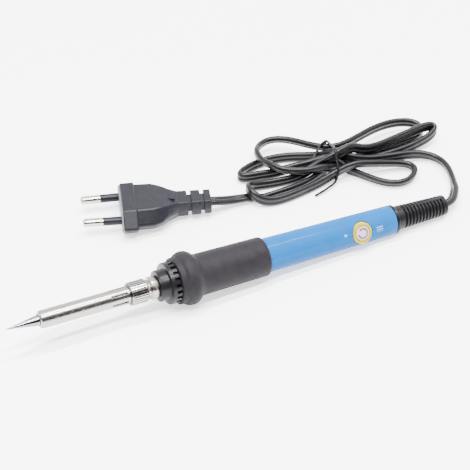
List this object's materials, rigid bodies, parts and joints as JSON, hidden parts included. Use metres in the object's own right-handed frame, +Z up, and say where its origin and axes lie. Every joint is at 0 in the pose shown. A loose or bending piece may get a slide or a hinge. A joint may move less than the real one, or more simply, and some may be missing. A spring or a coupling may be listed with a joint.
{
  "type": "soldering iron",
  "caption": "Pencil-grip mains soldering iron with a conical tip, knurled barrel nut, blue handle with a temperature dial, ribbed boot, tied flat cord and two-pin plug.",
  "frame": {"origin": "centre of the iron's footprint on the table it lies on, at the table's surface; the cord and plug are not counted", "axes": "+X along the iron from its tip to its cord, +Z up, so the dial side of the handle faces -Y and the tied cord lies on the +Y side"},
  "size_m": [0.2586, 0.1073, 0.0248],
  "materials": {
    "tip_plating": "mirror plating",
    "stainless": "polished",
    "nickel": "bright nickel",
    "ceramic": "fired white ceramic",
    "lead_sleeve": "woven glass fibre sleeve",
    "black_nylon": "moulded satin",
    "grip_silicone": "soft matte silicone",
    "blue_shell": "high gloss",
    "boot_pvc": "flexible satin",
    "dial_yellow": "moulded",
    "dial_white": "printed scale disc",
    "laminate": "green lacquered laminate",
    "component_black": "moulded epoxy",
    "component_blue": "blue glass bead",
    "component_yellow": "dipped lacquer",
    "component_beige": "dipped lacquer",
    "lead_pvc": "flexible PVC",
    "plug_pvc": "overmoulded PVC, satin",
    "plug_grey": "moulded",
    "pin_nickel": "bright nickel plate",
    "pin_sleeve": "moulded",
    "cord_pvc": "flexible PVC, satin",
    "tie_pvc": "PVC over wire"
  },
  "bodies": {
    "handle": {"threaded_collar": "nickel", "heater_rod": "ceramic", "heater_flange": "ceramic", "heater_lead_live": "lead_sleeve", "heater_lead_neutral": "lead_sleeve", "nose_cap": "black_nylon", "grip_sleeve": "grip_silicone", "handle_shell": "blue_shell", "end_collar": "black_nylon", "strain_relief_boot": "boot_pvc", "potentiometer_body": "black_nylon", "circuit_board": "laminate", "triac": "component_black", "diac": "component_blue", "timing_capacitor": "component_yellow", "dropper_resistor": "component_beige", "mains_lead_live": "lead_pvc", "mains_lead_neutral": "lead_pvc", "plug_body": "plug_pvc", "plug_bridge": "plug_grey", "plug_pin_left": "pin_nickel", "plug_pin_right": "pin_nickel", "pin_sleeve_left": "pin_sleeve", "pin_sleeve_right": "pin_sleeve", "mains_cord_handle_end": "cord_pvc", "cord_hank": "cord_pvc", "mains_cord_plug_end": "cord_pvc", "twist_tie": "tie_pvc"},
    "barrel": {"barrel_tube": "stainless", "soldering_tip": "tip_plating"},
    "nut": {"knurled_nut": "nickel"},
    "dial": {"dial_knob": "dial_yellow", "dial_scale": "dial_white", "dial_shaft": "black_nylon"}
  },
  "joints": [
    {"name": "nut_turn", "type": "hinge", "parent": "barrel", "child": "nut", "pos_m": [-0.05026, 0, 0.01363], "axis": [-0.9987, 0, 0.0501], "range_deg": [0, 1440]},
    {"name": "barrel_slide", "type": "slide", "parent": "handle", "child": "barrel", "axis": [-0.9987, 0, 0.0501], "range_m": [0, 0.004]},
    {"name": "dial_turn", "type": "hinge", "parent": "handle", "child": "dial", "pos_m": [0.06165, 0, 0.00801], "axis": [0.0188, -0.9272, 0.3741], "range_deg": [-135, 135]}
  ],
  "couplings": [
    {"joint": "nut_turn", "follows": "barrel_slide", "rad_per_m": 6283.2}
  ]
}
